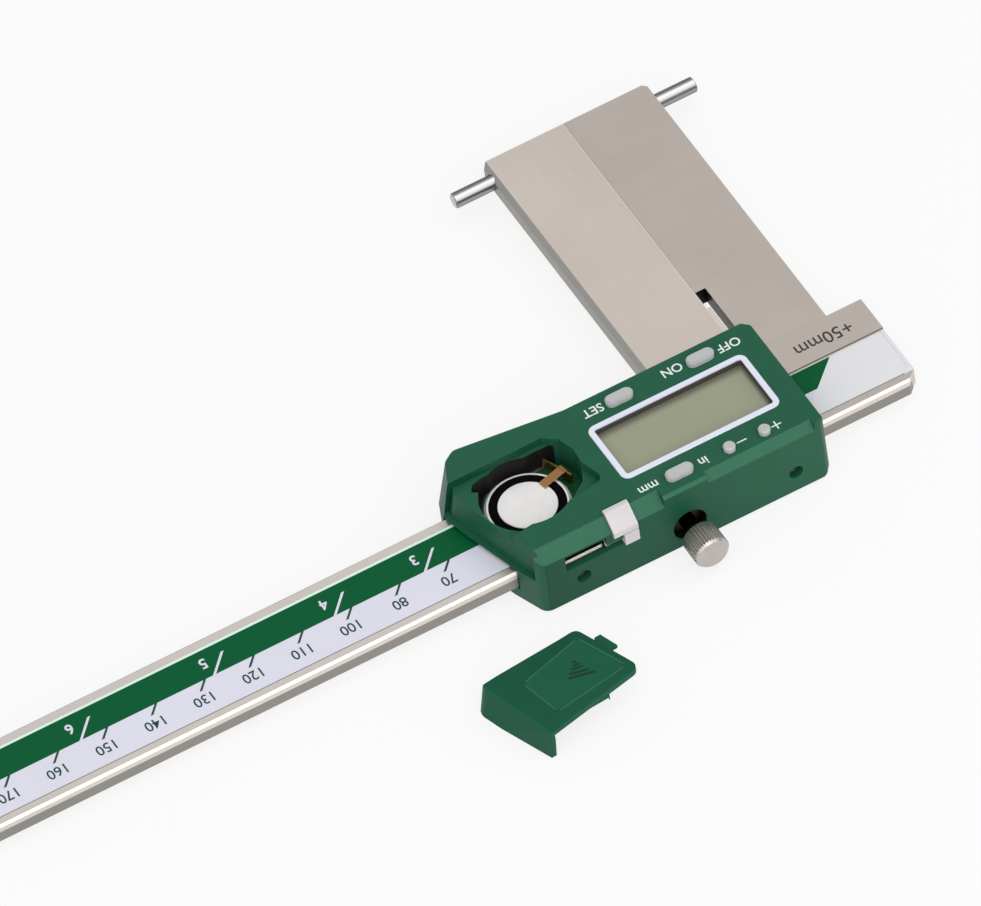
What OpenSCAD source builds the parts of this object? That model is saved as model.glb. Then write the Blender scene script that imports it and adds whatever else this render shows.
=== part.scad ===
// Electronic inside point caliper, lying on its back.
// Construction frame: x = 0 is the plane where the two jaws meet, y = 0 is the edge of the
// beam on the jaw side, z = 0 is the graduated face of the beam. rest() moves every piece
// so that the origin is below the middle of the whole, on the surface that it lies on.

/* [Beam] */
// Width of the beam
beam_w = 18.6; // [18:0.1:20]
// Thickness of the beam
beam_t = 3.8; // [3.4:0.1:4.2]
// Travel of the slider
travel = 200; // [150:10:300]
// Beam left past the slider at full travel
beam_tail = 14; // [12:1:30]
// Depth of the recess that holds the scale label
label_depth = 0.3; // [0.2:0.05:0.5]
// Metal strip beside the label on the jaw side
label_margin_near = 2; // [1.5:0.1:3]
// Metal strip beside the label on the screw side
label_margin_far = 1.8; // [1.2:0.1:3]

/* [Head and jaws] */
// Length of the fixed head behind the jaw contact plane
head_len = 24; // [20:0.5:30]
// How far the head strip stands past the beam's edge
head_over = 2.8; // [2:0.1:3.4]
// Width of the head strip
head_strip_w = 8.1; // [6:0.1:10]
// How far the head strip rises above the beam
head_rise = 0.4; // [0.2:0.05:0.6]
// Width of each jaw
jaw_w = 17; // [14:0.5:20]
// Reach of the jaws from the beam's edge
jaw_reach = 70; // [50:1:120]
// Width of the relief slot in the fixed jaw
relief_w = 2.1; // [1.6:0.1:3]
// Distance of the relief slot's end from the beam's edge
relief_end = 21.2; // [18:0.1:26]
// Step of the moving jaw into the relief slot
jaw_step = 0.7; // [0.4:0.1:1.2]
// Distance of the step's end from the beam's edge
jaw_step_end = 16.8; // [12:0.1:18]
// Chamfer on the jaw corners
jaw_chamfer = 0.8; // [0.4:0.1:1.5]
// Diameter of a measuring pin
pin_d = 3; // [2:0.1:3.2]
// How far a measuring pin stands out of its jaw
pin_out = 8; // [4:0.5:12]
// Length of a measuring pin inside its jaw
pin_in = 10; // [6:0.5:12]
// Distance of a pin's axis from the jaw's tip
pin_inset = 3.5; // [3:0.1:6]

/* [Slider frame] */
// Thickness of the slider frame's back plate
back_t = 1.7; // [1.5:0.1:2]
// Thickness of the frame's wall on the jaw side
wall_near = 2.1; // [1.8:0.1:2.1]
// Thickness of the frame's wall on the screw side
wall_far = 3.1; // [2.6:0.1:3.1]
// Thickness of the frame's front lips
lip_t = 1.2; // [1:0.1:1.4]
// How far a front lip reaches over the beam
lip_over = 0.8; // [0.5:0.1:1]
// Thickness of the gib strip
gib_t = 1; // [0.8:0.1:1.2]
// Place of the lock screw along the slider
lock_x = 26.8; // [25:0.1:28]
// Distance of each gib screw from the lock screw
gib_pitch = 21.8; // [20:0.1:22]
// Diameter of the lock and gib screws
screw_d = 3; // [2.5:0.1:3]

/* [Lock knob] */
// Diameter of the knob
knob_d = 6.9; // [6:0.1:8]
// Length of the knob
knob_len = 5.6; // [4:0.1:7]
// Gap between the housing and the knob
knob_gap = 2.9; // [1.5:0.1:4]
// Diameter of the recess in the housing round the lock screw
recess_d = 6.8; // [5:0.1:7]
// Number of knurl ridges
knurl_n = 36; // [24:2:48]
// Depth of the knurl
knurl_depth = 0.22; // [0.1:0.01:0.3]

/* [Housing] */
// Height of the housing's face above the beam
face_z = 8; // [7.6:0.1:9]
// Depth of the housing's base below the beam's face
base_z = 7; // [6.9:0.1:8]
// Length of the housing's straight part
case_len = 57; // [56.5:0.1:60]
// How far the housing reaches behind the contact plane
case_back = 2; // [1:0.1:3]
// How far the housing stands past the beam's edge on the jaw side
case_near = 4; // [3.7:0.1:4.5]
// How far the battery bulge stands past the beam's edge
case_bulge = 6.9; // [6:0.1:8]
// How far the housing stands past the beam's far edge
case_far = 6; // [6:0.1:7]
// Thickness of the housing's roof
roof_t = 1.5; // [1.2:0.1:1.8]
// How far the end wall leans inwards towards the face
lean = 2.4; // [1:0.1:3]
// Chamfer along the screw-side edge beside the display
edge_chamfer = 1.6; // [0.6:0.1:1.7]
// Chamfer along the screw-side edge over the lock screw
knob_chamfer = 0.6; // [0.3:0.1:1]
// Chamfer along the screw-side edge above the data port
port_chamfer = 2.5; // [1.6:0.1:2.6]
// Chamfer under the end wall beside the head
end_chamfer = 2; // [1:0.1:2.4]
// Softening of the housing's other edges
edge_soft = 0.4; // [0.2:0.05:0.6]

/* [Display] */
// Length of the display frame
lcd_len = 32.6; // [28:0.1:34]
// Width of the display frame
lcd_w = 14.8; // [12:0.1:15]
// Width of the frame's border
lcd_border = 1.2; // [0.8:0.1:2]
// Start of the display frame from the contact plane
lcd_x = 2.4; // [2.2:0.1:4]
// Start of the display frame from the beam's edge
lcd_y = 2.3; // [2:0.1:3]
// Thickness of the display panel
lcd_t = 1.5; // [1.2:0.1:2]

/* [Buttons] */
// Length of an oval button
oval_len = 5.5; // [4:0.1:6]
// Width of an oval button
oval_w = 2.5; // [2:0.1:2.8]
// Diameter of a round button
round_d = 2.3; // [1.8:0.1:2.6]
// How far a button stands above the face
button_proud = 1.1; // [0.8:0.1:1.5]
// Travel of a button
button_travel = 0.5; // [0.2:0.05:0.6]
// Row of buttons on the jaw side, from the beam's edge
row_near = -0.5; // [-0.7:0.1:0]
// Row of buttons on the screw side, from the beam's far edge
row_beyond = 2.4; // [1.8:0.1:2.5]
// Place of the on-off button
on_x = 9.6; // [8:0.1:12]
// Place of the set button
set_x = 26.3; // [24:0.1:30]
// Place of the unit button
unit_x = 25.9; // [24:0.1:30]
// Place of the minus button
minus_x = 15.6; // [14:0.1:18]
// Place of the plus button
plus_x = 8.4; // [7:0.1:10]

/* [Battery] */
// Diameter of the coin cell
cell_d = 16; // [15:0.5:16]
// Thickness of the coin cell
cell_t = 2; // [1.6:0.1:3.2]
// Distance of the cell's centre from the end of the housing's straight part
cell_back = 6.4; // [6:0.1:6.8]
// Place of the cell across the beam
cell_y = 8.4; // [8.2:0.1:9]
// Radial room round the cell
cell_room = 0.7; // [0.5:0.1:0.9]
// Depth of the seat of the battery cover
seat_depth = 1.7; // [1.4:0.1:2]
// Thickness of the cover's sloping end
slope_t = 1.1; // [0.8:0.1:1.4]
// Place of the loose cover along the beam
loose_x = 14.8; // [0:0.1:30]
// Place of the loose cover across the beam
loose_y = 32.4; // [32:0.1:60]
// Turn of the loose cover
loose_turn = 5; // [-15:1:15]

/* [Data port] */
// Start of the port along the slider
port_x = 43.3; // [43:0.1:44]
// Length of the port
port_len = 8.5; // [7:0.1:8.6]
// Height of the port
port_h = 3.6; // [2.6:0.1:3.8]
// Length of the sliding cover's grip
grip_len = 4.9; // [4:0.1:5.4]
// Thickness of the sliding cover's grip
grip_t = 0.7; // [0.5:0.1:0.9]

/* [Fits] */
// Running clearance between the slider and the beam
run_gap = 0.08; // [0.05:0.01:0.1]
// Clearance round a screw or pin
fit_gap = 0.02; // [0.01:0.01:0.05]
// Gap between moulded pieces
mould_gap = 0.1; // [0.05:0.01:0.15]
// Gap between the closed jaws
jaw_gap = 0.04; // [0.02:0.01:0.1]

/* [Hidden] */
$fn = 48;
eps = 0.01;
far = 400;

// Places along the beam and slider
frame_x0 = 1.5;
frame_x1 = case_len - 2;
cell_x = case_len - cell_back;
row_far = beam_w + row_beyond;
beam_end = travel + case_len + 5 + beam_tail;
mid_z = -beam_t / 2;
pin_y = -jaw_reach + pin_inset;
far_y = beam_w + case_far;
gib_y = beam_w + run_gap;
wall_y0 = gib_y + gib_t + run_gap;
wall_y1 = wall_y0 + wall_far;
near_y1 = -run_gap;
near_y0 = near_y1 - wall_near;
back_z1 = -beam_t - run_gap;
back_z0 = back_z1 - back_t;
lip_z0 = run_gap;
lip_z1 = lip_z0 + lip_t;
roof_z = face_z - roof_t;
seat_z = face_z - seat_depth;

// Plan of the housing: corners and their radii; pull is how far the end wall has leaned in
function case_plan(pull) = [
  [-case_back, -case_near + 1.4],
  [-case_back + 1.4, -case_near],
  [case_len - 21, -case_near],
  [case_len + 0.2, -case_bulge],
  [case_len + 5 - pull, -case_bulge + 1.6],
  [case_len + 7.1 - pull * 0.7, 1],
  [case_len + 2.4 - pull * 0.25, far_y - 7],
  [case_len - 0.2, far_y]];
case_tail = [[-case_back + 1, far_y], [-case_back, far_y - 1]];
case_radii = [0.6, 0.6, 8, 2, 2, 2.5, 4, 2, 0.6, 0.6];

// Plan geometry
function unit(v) = v / norm(v);
function inward(a, b) = let(u = unit(b - a)) [-u.y, u.x];
function turn_of(a, b, c) = (b.x - a.x) * (c.y - b.y) - (b.y - a.y) * (c.x - b.x);
function wrap(a) = a > 180 ? a - 360 : a < -180 ? a + 360 : a;
// Points of one corner b, rounded to radius r
function corner(a, b, c, r, n) =
  let(
    u = unit(a - b),
    w = unit(c - b),
    half = acos(u * w) / 2,
    m = b + unit(u + w) * r / sin(half),
    s = b + u * r / tan(half),
    e = b + w * r / tan(half),
    a0 = atan2(s.y - m.y, s.x - m.x),
    da = wrap(atan2(e.y - m.y, e.x - m.x) - a0))
  [for (i = [0:n]) m + r * [cos(a0 + da * i / n), sin(a0 + da * i / n)]];
function rounded(p, r, n = 4) =
  let(k = len(p))
  [for (i = [0:k - 1]) each corner(p[(i + k - 1) % k], p[i], p[(i + 1) % k], r[i], n)];
// The same corners moved inwards by d
function inset(p, d) =
  let(k = len(p))
  [for (i = [0:k - 1])
    let(
      n1 = inward(p[(i + k - 1) % k], p[i]),
      n2 = inward(p[i], p[(i + 1) % k]))
    p[i] + (n1 + n2) * d / (1 + n1 * n2)];
function inset_radii(p, r, d) =
  let(k = len(p))
  [for (i = [0:k - 1])
    let(t = turn_of(p[(i + k - 1) % k], p[i], p[(i + 1) % k]))
    max(0.05, r[i] + (t > 0 ? -d : d))];
function box_plan(x0, y0, x1, y1) = [[x0, y0], [x1, y0], [x1, y1], [x0, y1]];
function turned(p, a) = [p.x * cos(a) - p.y * sin(a), p.x * sin(a) + p.y * cos(a)];

function ring(plan, radii, d, z, n = 4) =
  [for (q = rounded(inset(plan, d), inset_radii(plan, radii, d), n)) [q.x, q.y, z]];
// Solid through rings of points that lie in level planes, from the lowest up
module loft(rings) {
  n = len(rings[0]);
  m = len(rings);
  points = [for (r = rings) each r];
  faces = concat(
    [[for (i = [0:n - 1]) i]],
    [for (j = [0:m - 2]) for (i = [0:n - 1]) let(k = (i + 1) % n)
      each [[j * n + i, (j + 1) * n + k, j * n + k], [j * n + i, (j + 1) * n + i, (j + 1) * n + k]]],
    [[for (i = [n - 1:-1:0]) (m - 1) * n + i]]);
  polyhedron(points, faces);
}

// Plate with a rounded plan and softened top edges
module soft_plate(plan, radii, z0, z1, soft) {
  loft([
    ring(plan, radii, 0, z0),
    ring(plan, radii, 0, z1 - soft),
    ring(plan, radii, soft * 0.3, z1 - soft * 0.3),
    ring(plan, radii, soft, z1)]);
}
module slab(x0, y0, z0, x1, y1, z1) {
  translate([x0, y0, z0]) cube([x1 - x0, y1 - y0, z1 - z0]);
}
module y_rod(x, z, y0, y1, d) {
  translate([x, y0, z]) rotate([-90, 0, 0]) cylinder(d = d, h = y1 - y0);
}
module x_rod(y, z, x0, x1, d) {
  translate([x0, y, z]) rotate([0, 90, 0]) cylinder(d = d, h = x1 - x0);
}

// Origin below the middle of the whole, on the lowest point of the base
cover_corners = [[41.7, -0.2], [63.5, 1], [59.3, 17], [cell_x, 17], [37.6, 14.2]];
cover_far = max([for (p = cover_corners) turned(p, loose_turn).y]) + loose_y;
low_x = -jaw_w - pin_out;
mid_x = (low_x + beam_end) / 2;
mid_y = (cover_far - jaw_reach) / 2;
module rest() {
  translate([-mid_x, -mid_y, base_z]) children();
}

// Beam with the fixed head and jaw, one piece of steel
module beam() {
  color([0.74, 0.71, 0.69])
  rest()
  difference() {
    union() {
      slab(-head_len, 0, -beam_t, beam_end, beam_w, 0);
      slab(-head_len, -head_over, -beam_t, -jaw_gap / 2, head_strip_w - head_over, head_rise);
      slab(-jaw_w, -jaw_reach, -beam_t, -jaw_gap / 2, -head_over + eps, 0);
    }
    translate([0, 0, -label_depth]) linear_extrude(1) label_plan(0);
    slab(-relief_w, -relief_end, -beam_t - 1, 1, -head_over, 1);
    x_rod(pin_y, mid_z, -jaw_w - 1, -jaw_w + pin_in, pin_d + 2 * fit_gap);
    corner_cut(-jaw_w, -jaw_reach);
    edge_bevel(beam_w, 1);
    edge_bevel(0, -1);
    translate([-head_len, beam_w, -beam_t - 1]) rotate(45) cube([3, 3, 12], center = true);
  }
}
// Cut of a jaw's outer tip corner at x, y
module corner_cut(x, y) {
  translate([x, y, mid_z]) rotate(45)
    cube([jaw_chamfer * sqrt(2), jaw_chamfer * sqrt(2), beam_t + 2], center = true);
}
// Bevel along a long edge of the beam's face
module edge_bevel(y, side) {
  bevel = 0.45;
  x0 = side > 0 ? -head_len - 1 : 0.5;
  translate([x0, y, 0]) rotate([45, 0, 0])
    translate([0, -bevel / sqrt(2), -bevel / sqrt(2)])
    cube([far, bevel * sqrt(2), bevel * sqrt(2)]);
}

// Plan of the label: full width beside the slider, narrower beside the head strip
module label_plan(gap) {
  x0 = -head_len + 0.7 + gap;
  x1 = beam_end - 1 - gap;
  step_x = 0.3 + gap;
  y_low = label_margin_near + gap;
  y_mid = head_strip_w - head_over + 0.1 + gap;
  y_top = beam_w - label_margin_far - gap;
  polygon([[x0, y_mid], [step_x, y_mid], [step_x, y_low], [x1, y_low], [x1, y_top],
    [x0 + 1.5, y_top], [x0, y_top - 1.5]]);
}
module scale_label() {
  color([0.88, 0.88, 0.92])
  rest()
  translate([0, 0, -label_depth])
    linear_extrude(label_depth - 0.03) label_plan(fit_gap);
}

// Measuring pin: ground rod with small chamfers, from x0 to x1
module measuring_pin(x0, x1) {
  c = 0.25;
  translate([x0, pin_y, mid_z]) rotate([0, 90, 0])
    rotate_extrude()
    polygon([[0, 0], [pin_d / 2 - c, 0], [pin_d / 2, c], [pin_d / 2, x1 - x0 - c],
      [pin_d / 2 - c, x1 - x0], [0, x1 - x0]]);
}
module fixed_pin() {
  color([0.82, 0.82, 0.84])
  rest() measuring_pin(-jaw_w - pin_out, -jaw_w + pin_in - fit_gap);
}
module moving_pin() {
  color([0.82, 0.82, 0.84])
  rest() measuring_pin(jaw_w - pin_in + fit_gap, jaw_w + pin_out);
}

// Slider frame with the moving jaw, one piece of steel
module slider_frame() {
  color([0.74, 0.71, 0.69])
  rest()
  difference() {
    union() {
      slab(frame_x0, near_y0, back_z0, frame_x1, wall_y1, back_z1);
      slab(frame_x0, near_y0, back_z0, frame_x1, near_y1, lip_z1);
      slab(frame_x0, near_y0, lip_z0, frame_x1, lip_over, lip_z1);
      slab(frame_x0, wall_y0, back_z0, frame_x1, wall_y1, lip_z1);
      slab(frame_x0, beam_w - lip_over, lip_z0, frame_x1, wall_y1, lip_z1);
      slab(jaw_gap / 2, -jaw_reach, -beam_t, jaw_w, near_y1, 0);
      slab(-jaw_step, -jaw_step_end, -beam_t, 1, -head_over - 0.5, 0);
    }
    x_rod(pin_y, mid_z, jaw_w - pin_in, jaw_w + 1, pin_d + 2 * fit_gap);
    corner_cut(jaw_w, -jaw_reach);
    jaw_bevel();
    for (k = [-1:1])
      y_rod(lock_x + k * gib_pitch, mid_z, wall_y0 - 1, wall_y1 + 1, screw_d + 2 * fit_gap);
    for (p = screw_spots())
      translate([p.x, p.y, back_z0 - 1]) {
        cylinder(d = case_screw_d + 2 * mould_gap, h = 20);
        cylinder(d = case_head_d + 2 * mould_gap, h = 1 + case_head_t + mould_gap);
      }
    for (p = back_spots())
      translate([p.x, p.y, back_z0 - 1]) cylinder(d = back_screw_d + 2 * fit_gap, h = back_t + 0.6);
  }
}
module jaw_bevel() {
  bevel = 0.9;
  translate([jaw_w, -jaw_reach - 1, 0]) rotate([0, 45, 0])
    cube([bevel * sqrt(2), 2 * (jaw_reach - case_near) + 2, bevel * sqrt(2)], center = true);
}

// Screws that hold the housing to the frame, put in from the back through the frame's walls
case_screw_d = 1.4;
case_head_d = 1.9;
case_head_t = 0.9;
case_screw_len = 8.4;
function screw_spots() = [
  [frame_x0 + 2, near_y0 + wall_near / 2],
  [39.6, near_y0 + wall_near / 2],
  [(plus_x + minus_x) / 2, wall_y0 + wall_far / 2],
  [frame_x1 - 1.6, wall_y0 + wall_far / 2]];
module housing_screws() {
  color([0.6, 0.6, 0.62])
  rest()
  for (p = screw_spots())
    translate([p.x, p.y, back_z0 + mould_gap]) {
      cylinder(d = case_head_d, h = case_head_t);
      cylinder(d = case_screw_d, h = case_screw_len);
    }
}

// Screws that hold the back cover
back_screw_d = 1.6;
back_head_d = 3;
back_screw_len = 2.2;
back_edge_x = 5;
back_edge_y = 4;
function back_spots() = [
  for (x = [frame_x0 + back_edge_x, frame_x1 - back_edge_x])
    for (y = [back_edge_y, beam_w - back_edge_y]) [x, y]];
module back_screws() {
  color([0.6, 0.6, 0.62])
  rest()
  for (p = back_spots())
    translate([p.x, p.y, back_low + 0.05])
      difference() {
        rotate_extrude()
          polygon([[0, 0], [back_head_d / 2, 0], [back_screw_d / 2, back_sink],
            [back_screw_d / 2, back_screw_len], [0, back_screw_len]]);
        slab(-back_head_d, -0.2, -1, back_head_d, 0.2, 0.3);
      }
}

// Gib strip between the beam's far edge and the frame's wall
module gib_strip() {
  color([0.72, 0.6, 0.35])
  rest()
  slab(frame_x0 + 0.5, gib_y, -beam_t, frame_x1 - 0.5, gib_y + gib_t, 0);
}
module gib_screws() {
  color([0.5, 0.5, 0.52])
  rest()
  for (k = [-1, 1])
    difference() {
      y_rod(lock_x + k * gib_pitch, mid_z, wall_y0 - run_gap + fit_gap, wall_y1 - 0.3, screw_d);
      slab(lock_x + k * gib_pitch - 2, wall_y1 - 0.9, mid_z - 0.25,
        lock_x + k * gib_pitch + 2, wall_y1, mid_z + 0.25);
    }
}

// Lock screw with its knurled knob
knob_y0 = far_y + knob_gap;
module lock_screw() {
  c = 0.5;
  r = knob_d / 2;
  color([0.78, 0.76, 0.74])
  rest()
  translate([lock_x, 0, mid_z]) {
    difference() {
      translate([0, knob_y0, 0]) rotate([-90, 0, 0])
        rotate_extrude()
        polygon([[0, 0], [r - c, 0], [r, c], [r, knob_len - c], [r - c, knob_len], [0, knob_len]]);
      for (i = [0:knurl_n - 1])
        rotate([0, i * 360 / knurl_n, 0])
          translate([r, knob_y0 - 1, 0]) rotate([0, 45, 0])
          translate([-knurl_depth / sqrt(2), 0, -knurl_depth / sqrt(2)])
          cube([knurl_depth * sqrt(2), knob_len + 2, knurl_depth * sqrt(2)]);
    }
    y_rod(0, 0, wall_y0 - run_gap + fit_gap, knob_y0 + eps, screw_d);
  }
}

// Level at which the end wall starts to lean
lean_z = -1.3;
// Outer body of the housing, without its openings
module case_body() {
  plan0 = concat(case_plan(0), case_tail);
  plan1 = concat(case_plan(lean), case_tail);
  round_off = edge_soft * 0.3;
  intersection() {
    loft([
      ring(plan0, case_radii, 2 * edge_soft, -base_z - edge_soft),
      ring(plan0, case_radii, 0, -base_z + edge_soft),
      ring(plan0, case_radii, 0, lean_z),
      ring(plan1, case_radii, 0, face_z - edge_soft),
      ring(plan1, case_radii, round_off, face_z - round_off),
      ring(plan1, case_radii, 2 * edge_soft - round_off, face_z + round_off)]);
    slab(-case_back - 5, -case_bulge - 5, -base_z, case_len + 15, far_y + 5, face_z);
    difference() {
      slab(-case_back - 5, -case_bulge - 5, -base_z - 1, case_len + 15, far_y + 5, face_z + 1);
      face_chamfer(0.2, knob_x0 + eps, edge_chamfer);
      face_chamfer(knob_x0, knob_x1, knob_chamfer);
      face_chamfer(knob_x1 - eps, case_len + 15, port_chamfer);
      translate([-case_back, beam_w - 1, -base_z]) rotate([0, 45, 0])
        translate([-end_chamfer / sqrt(2), 0, -end_chamfer / sqrt(2)])
        cube([end_chamfer * sqrt(2), case_far + 2, end_chamfer * sqrt(2)]);
    }
  }
}
// Ends of the stretch of the face's edge that lies over the lock screw
knob_x0 = lock_x - 4.6;
knob_x1 = lock_x + 4.4;
// Cutter for a chamfer with legs c along the screw-side edge of the face, from x0 to x1
module face_chamfer(x0, x1, c) {
  translate([x0, far_y, face_z]) rotate([45, 0, 0])
    translate([0, -c / sqrt(2), -c / sqrt(2)])
    cube([x1 - x0, c * sqrt(2), c * sqrt(2)]);
}
// Space of the battery cover, smaller by gap on every side
module cover_space(gap) {
  seat = seat_z + gap;
  slope_low = 0.9 + gap;
  intersection() {
    union() {
      translate([0, 0, seat]) linear_extrude(far) offset_plan(plateau_plan, gap, 1.4);
      translate([0, 0, slope_low]) linear_extrude(far) offset_plan(slope_plan, gap, 0.05);
    }
    difference() {
      slab(30, -10, slope_low, 90, 40, face_z + 1);
      lean_block(slope_t - gap);
    }
  }
}
// Everything that stays inside the sloping end by depth d, below the seat
module lean_block(d) {
  plan0 = concat(case_plan(0), case_tail);
  plan1 = concat(case_plan(lean), case_tail);
  loft([
    ring(plan0, case_radii, d, lean_z),
    ring([for (i = [0:len(plan0) - 1]) plan0[i] + (plan1[i] - plan0[i]) * seat_share],
      case_radii, d, seat_z + (slope_t - d))]);
}
seat_share = (seat_z - lean_z) / (face_z - edge_soft - lean_z);
cover_y1 = cell_y + cell_d / 2 + cell_room;
plateau_plan = [[41.8, -0.3], [70, -0.3], [70, cover_y1], [57.8, cover_y1], [37.6, 14.3]];
slope_plan = [[58.8, -0.3], [80, -0.3], [80, 23], [56.2, 23], [58, cover_y1]];
module offset_plan(p, gap, r) {
  polygon(rounded(inset(p, gap), [for (q = p) r]));
}

// Housing: moulded shell with the display window, buttons, battery bay and data port
module housing() {
  color([0.16, 0.38, 0.29])
  rest()
  difference() {
    case_body();
    // Room for the frame, open at the back
    slab(frame_x0 - 0.2, near_y0 - mould_gap, -base_z - 1, frame_x1 + 0.2, wall_y1 + mould_gap,
      lip_z1 + mould_gap);
    // Ways through the end walls for the beam and for the head
    slab(-case_back - 1, -0.4, -beam_t - 0.5, case_len + 12, beam_w + 0.4, lip_z1 + mould_gap - 0.6);
    slab(-case_back - 1, -case_near - 1, -base_z - 1, 0.4, beam_w + 0.6, head_rise + 0.2);
    // Way out for the moving jaw
    slab(-case_back - 1, -case_near - 1, -beam_t - mould_gap, jaw_w + mould_gap, 0, mould_gap);
    // Room for the circuit board and the display, beside the pillars of two housing screws
    difference() {
      slab(frame_x0, near_y0, lip_z1, board_x1 + 0.4, wall_y1 - 0.1, roof_z);
      pillars(0);
    }
    // Display window
    translate([0, 0, roof_z - 1]) linear_extrude(far)
      polygon(rounded(frame_plan, [1.6, 1.6, 1.6, 1.6]));
    // Button holes
    for (b = ovals()) translate([b.x, b.y, roof_z - 1]) oval(oval_len + 2 * mould_gap,
      oval_w + 2 * mould_gap, far);
    for (b = rounds()) translate([b.x, b.y, roof_z - 1])
      cylinder(d = round_d + 2 * mould_gap, h = far);
    battery_bay();
    port_room();
    // Holes over the gib screws, and the recess round the lock screw
    for (k = [-1, 1])
      y_rod(lock_x + k * gib_pitch, mid_z, wall_y1 - 1, far_y + 1, screw_d - 0.2);
    y_rod(lock_x, mid_z, wall_y1 - 1, far_y + 1, recess_d);
    // Pilot holes for the housing screws
    for (p = screw_spots())
      translate([p.x, p.y, 0]) cylinder(d = case_screw_d + 2 * fit_gap, h = case_screw_len + back_z0 + 0.5);
  }
}
// Pillars inside the housing round two of its screws, larger by gap on every side
module pillars(gap) {
  r = case_screw_d / 2 + 0.9 + gap;
  for (p = [screw_spots()[0], screw_spots()[2]])
    slab(p.x - r, p.y < 0 ? near_y0 - 1 : p.y - r, lip_z1 - 1, p.x + r,
      p.y < 0 ? p.y + r : wall_y1 + 1, roof_z + 1);
}
// Deep opening round the cell and its contacts, and the seat of the cover
bay_corner = [[43.6, 0.5], [55.4, 0.5], [57.7, 1.1], [58.6, 2.5], [cell_x, cell_y], [47, 15.6],
  [43.6, 13.6], [40.6, 11.4], [39.2, 8.4], [39, 5.2], [40.1, 1.6], [41.6, 0.6]];
module battery_bay() {
  translate([cell_x, cell_y, lip_z1]) cylinder(d = cell_d + 2 * cell_room, h = 20, $fn = 72);
  translate([0, 0, lip_z1]) linear_extrude(20) polygon(bay_corner);
  cover_space(0);
}

// Data port in the screw-side wall, with the track of its sliding cover
port_z = lip_z1 + 0.2;
shutter_len = 11.4;
shutter_x = port_x - 0.2 - shutter_len;
shutter_h = port_h + 0.3;
shutter_y0 = far_y - 1.85;
shutter_y1 = far_y - 1.2;
shutter_travel = 8.6;
grip_x = 37.1;
neck_x = grip_x;
neck_len = 2.9;
neck_h = 1.3;
module port_room() {
  // Opening and the slot beside it
  slab(port_x, shutter_y0, port_z, port_x + port_len, far_y + 1, port_z + port_h);
  slab(neck_x - 0.2, shutter_y0, port_z + 0.2 - mould_gap, port_x + 1, far_y + 1,
    port_z + 0.2 + neck_h + mould_gap);
  // Track inside the wall
  slab(shutter_x - 0.2, shutter_y0 - mould_gap, lip_z1, shutter_x + shutter_len + shutter_travel + 0.2,
    shutter_y1 + mould_gap, port_z + shutter_h + 0.2);
  // Room for the connector
  slab(port_x - 0.3, beam_w + 0.2, lip_z1, port_x + port_len + 0.3, shutter_y0, port_z + port_h);
}
module port_cover() {
  side_y = far_y + 0.06;
  top_z = face_z + 0.06;
  edge_y = far_y - port_chamfer;
  grip_low = 4.4;
  color([0.68, 0.68, 0.68])
  rest() {
    // Grip that wraps the housing's edge
    translate([grip_x, 0, 0]) rotate([90, 0, 90])
      linear_extrude(grip_len)
      polygon([[edge_y - 0.8, top_z], [edge_y - 0.6, top_z + grip_t], [edge_y + 0.2, top_z + grip_t],
        [side_y + grip_t, face_z - port_chamfer + 0.4], [side_y + grip_t, grip_low + 0.3],
        [side_y + grip_t - 0.3, grip_low], [side_y, grip_low],
        [side_y, face_z - port_chamfer + 0.03], [edge_y + 0.03, top_z]]);
    // Foot that reaches down to the slot, and the neck through the wall
    slab(grip_x, side_y, port_z + 0.2, grip_x + neck_len, side_y + grip_t, grip_low + eps);
    slab(grip_x, shutter_y1 - eps, port_z + 0.2, grip_x + neck_len, side_y + eps,
      port_z + 0.2 + neck_h);
    // Shutter inside the wall
    slab(shutter_x, shutter_y0, lip_z1 + mould_gap, shutter_x + shutter_len, shutter_y1,
      port_z + shutter_h);
  }
}
module data_connector() {
  color([0.75, 0.75, 0.77])
  rest()
  difference() {
    slab(port_x + 0.2, beam_w + 0.5, lip_z1, port_x + port_len - 0.2, shutter_y0 - 0.2,
      port_z + port_h - 0.2);
    slab(port_x + 0.7, beam_w + 1.5, lip_z1 + 0.6, port_x + port_len - 0.7, far_y,
      port_z + port_h - 0.5);
  }
}

// Display
frame_plan = box_plan(lcd_x, lcd_y, lcd_x + lcd_len, lcd_y + lcd_w);
module lcd_frame() {
  radii = [1.6, 1.6, 1.6, 1.6];
  color([0.86, 0.88, 0.94])
  rest()
  difference() {
    soft_plate(inset(frame_plan, mould_gap / 2), radii, roof_z, face_z + 0.05, 0.15);
    translate([0, 0, roof_z - 1]) linear_extrude(far)
      polygon(rounded(inset(frame_plan, lcd_border), [0.5, 0.5, 0.5, 0.5]));
  }
}
lcd_plan = inset(frame_plan, -0.4);
lcd_top = roof_z - 0.02;
lcd_low = lcd_top - lcd_t;
module lcd_panel() {
  color([0.6, 0.62, 0.51])
  rest()
  translate([0, 0, lcd_low]) linear_extrude(lcd_t) polygon(lcd_plan);
}
module elastomer_strips() {
  color([0.2, 0.2, 0.2])
  rest()
  for (y = [lcd_plan[0].y + 0.1, lcd_plan[2].y - 1.7])
    slab(lcd_plan[0].x + 2, y, board_z1, lcd_plan[1].x - 2, y + 1.6, lcd_low);
}

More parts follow.
